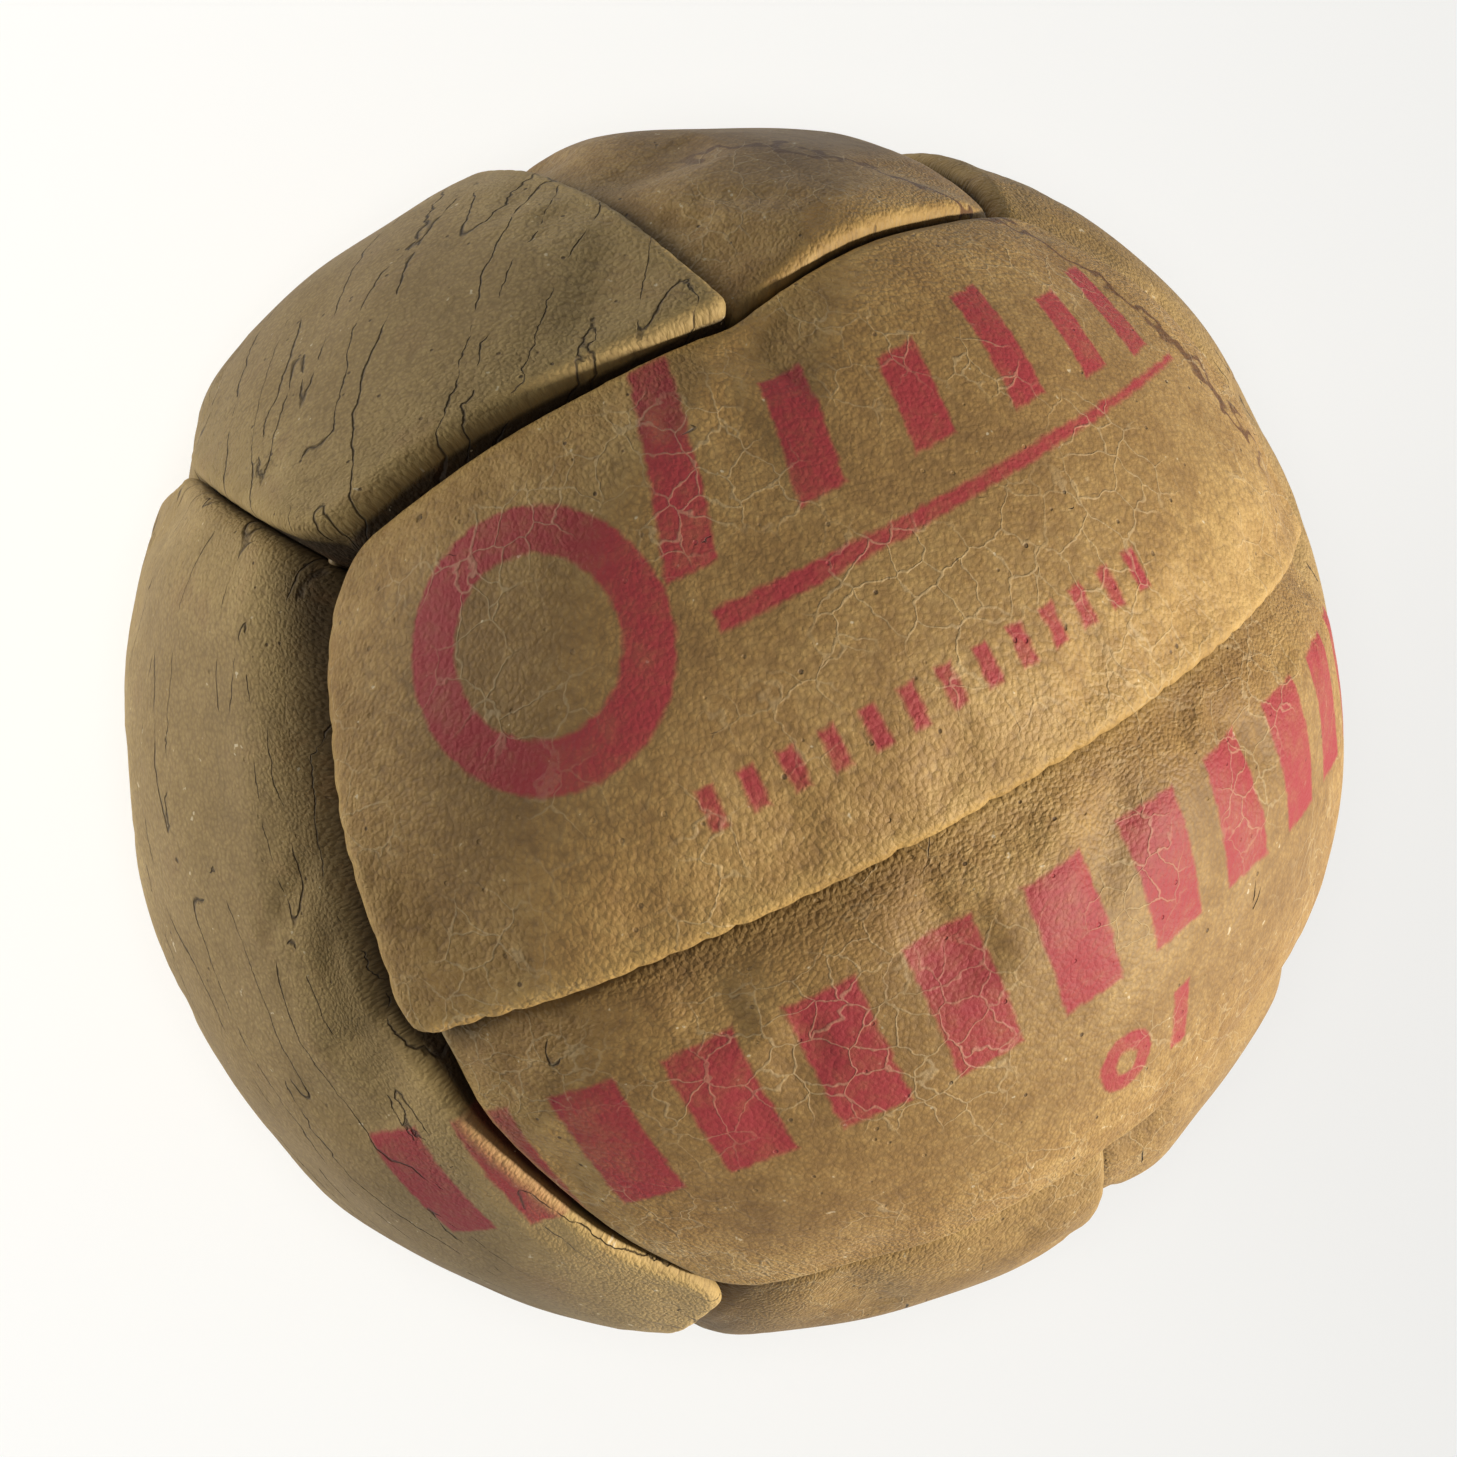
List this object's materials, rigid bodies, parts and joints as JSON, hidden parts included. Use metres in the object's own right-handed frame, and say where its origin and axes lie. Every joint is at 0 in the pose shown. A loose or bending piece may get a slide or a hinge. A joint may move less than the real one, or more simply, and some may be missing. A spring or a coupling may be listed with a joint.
{
  "type": "medicine ball",
  "caption": "Heavy stuffed exercise ball with a sewn cover of tan leather panels, two to each side, over canvas and fibre packing.",
  "frame": {"origin": "the ball's centre", "axes": "+Z through the middle of the printed side's centre seam, the crown; +X along that seam; +Y towards the far panel of the crown"},
  "size_m": [0.2494, 0.2494, 0.2494],
  "materials": {
    "leather": "worn, satin, fine pebbled grain",
    "canvas": "unbleached plain-weave cotton canvas",
    "thread": "waxed twisted linen",
    "packing": "matted fibre"
  },
  "bodies": {
    "root": {"crown_far_panel": "leather", "crown_near_panel": "leather", "base_near_panel": "leather", "base_far_panel": "leather", "right_upper_panel": "leather", "left_upper_panel": "leather", "right_lower_panel": "leather", "left_lower_panel": "leather", "far_right_panel": "leather", "near_left_panel": "leather", "near_right_panel": "leather", "far_left_panel": "leather", "crown_far_lining": "canvas", "crown_near_lining": "canvas", "base_near_lining": "canvas", "base_far_lining": "canvas", "right_upper_lining": "canvas", "left_upper_lining": "canvas", "right_lower_lining": "canvas", "left_lower_lining": "canvas", "far_right_lining": "canvas", "near_left_lining": "canvas", "near_right_lining": "canvas", "far_left_lining": "canvas", "crown_far_edge_thread": "thread", "crown_near_edge_thread": "thread", "base_near_edge_thread": "thread", "base_far_edge_thread": "thread", "right_upper_edge_thread": "thread", "left_upper_edge_thread": "thread", "right_lower_edge_thread": "thread", "left_lower_edge_thread": "thread", "far_right_edge_thread": "thread", "near_left_edge_thread": "thread", "near_right_edge_thread": "thread", "far_left_edge_thread": "thread", "crown_centre_thread": "thread", "base_centre_thread": "thread", "right_centre_thread": "thread", "left_centre_thread": "thread", "far_centre_thread": "thread", "near_centre_thread": "thread", "fibre_packing": "packing"}
  },
  "joints": []
}
